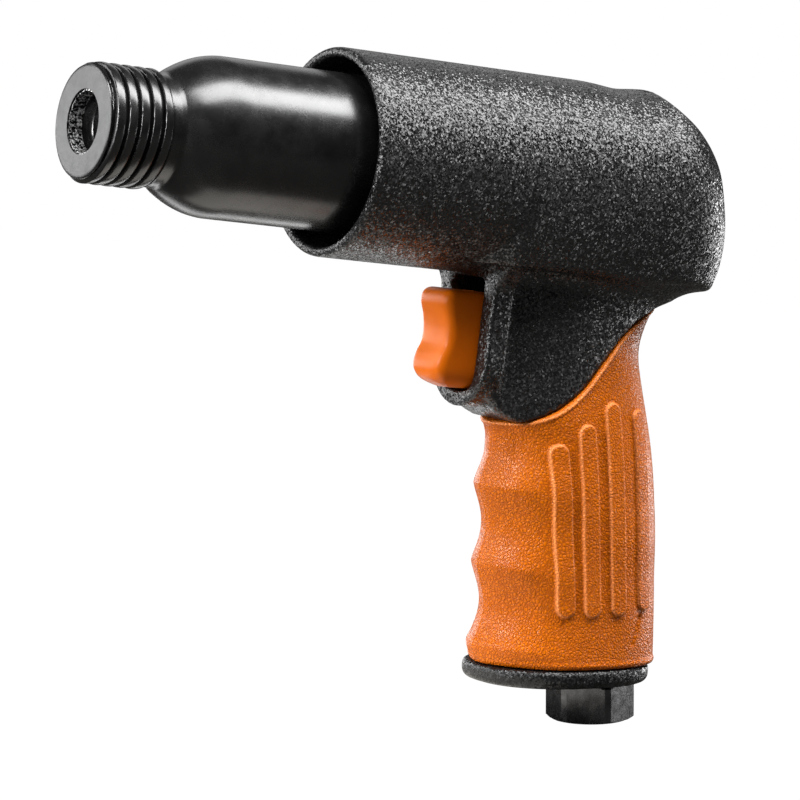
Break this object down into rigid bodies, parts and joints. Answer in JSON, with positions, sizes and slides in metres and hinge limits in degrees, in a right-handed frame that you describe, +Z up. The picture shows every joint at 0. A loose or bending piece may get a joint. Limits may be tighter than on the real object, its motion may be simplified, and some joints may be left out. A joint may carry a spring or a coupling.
{
  "type": "pneumatic air hammer",
  "caption": "Pistol-grip air hammer with an externally threaded barrel, a finger trigger, a ribbed rubber grip and a hexagonal air inlet below.",
  "frame": {"origin": "middle of the tool's outer box, level with the lowest point of the air inlet", "axes": "+X along the barrel towards the muzzle, +Z up with the barrel level, +Y to the user's left"},
  "size_m": [0.1844, 0.0508, 0.1617],
  "materials": {
    "casting_paint": "coarse sand-textured charcoal powder coat on cast aluminium",
    "black_steel": "satin black oxide",
    "dark_steel": "satin dark steel",
    "bright_steel": "ground",
    "brass": "machined",
    "orange_rubber": "leather-grained orange rubber",
    "orange_plastic": "satin orange plastic",
    "black_rubber": "matt"
  },
  "bodies": {
    "tool": {"housing": "casting_paint", "grip_sleeve": "orange_rubber", "base_plate": "casting_paint", "inlet_bushing": "dark_steel", "inlet_screen": "brass", "inlet_gasket": "black_rubber", "barrel": "black_steel", "barrel_seal": "black_rubber", "valve_body": "bright_steel", "valve_cap": "bright_steel", "valve_pin": "bright_steel", "valve_spacer": "bright_steel", "valve_cushion": "black_rubber", "throttle_bushing": "brass", "throttle_seal": "black_rubber", "throttle_spring": "bright_steel"},
    "piston": {"piston": "bright_steel"},
    "shuttle": {"shuttle_valve": "bright_steel"},
    "trigger": {"trigger": "orange_plastic", "trigger_stem": "bright_steel"},
    "throttle": {"throttle_valve": "brass", "throttle_washer": "black_rubber"}
  },
  "joints": [
    {"name": "trigger_press", "type": "slide", "parent": "tool", "child": "trigger", "axis": [-1, 0, 0], "range_m": [0, 0.005], "stiffness_N_per_m": 2000, "springref_m": -0.004},
    {"name": "throttle_lift", "type": "slide", "parent": "tool", "child": "throttle", "axis": [-1, 0, 0], "range_m": [0, 0.005], "deforming": ["throttle_spring"]},
    {"name": "piston_slide", "type": "slide", "parent": "tool", "child": "piston", "axis": [1, 0, 0], "range_m": [0, 0.042]},
    {"name": "shuttle_slide", "type": "slide", "parent": "tool", "child": "shuttle", "axis": [-1, 0, 0], "range_m": [0, 0.0015]}
  ],
  "couplings": [
    {"joint": "throttle_lift", "follows": "trigger_press", "ratio": 1}
  ]
}
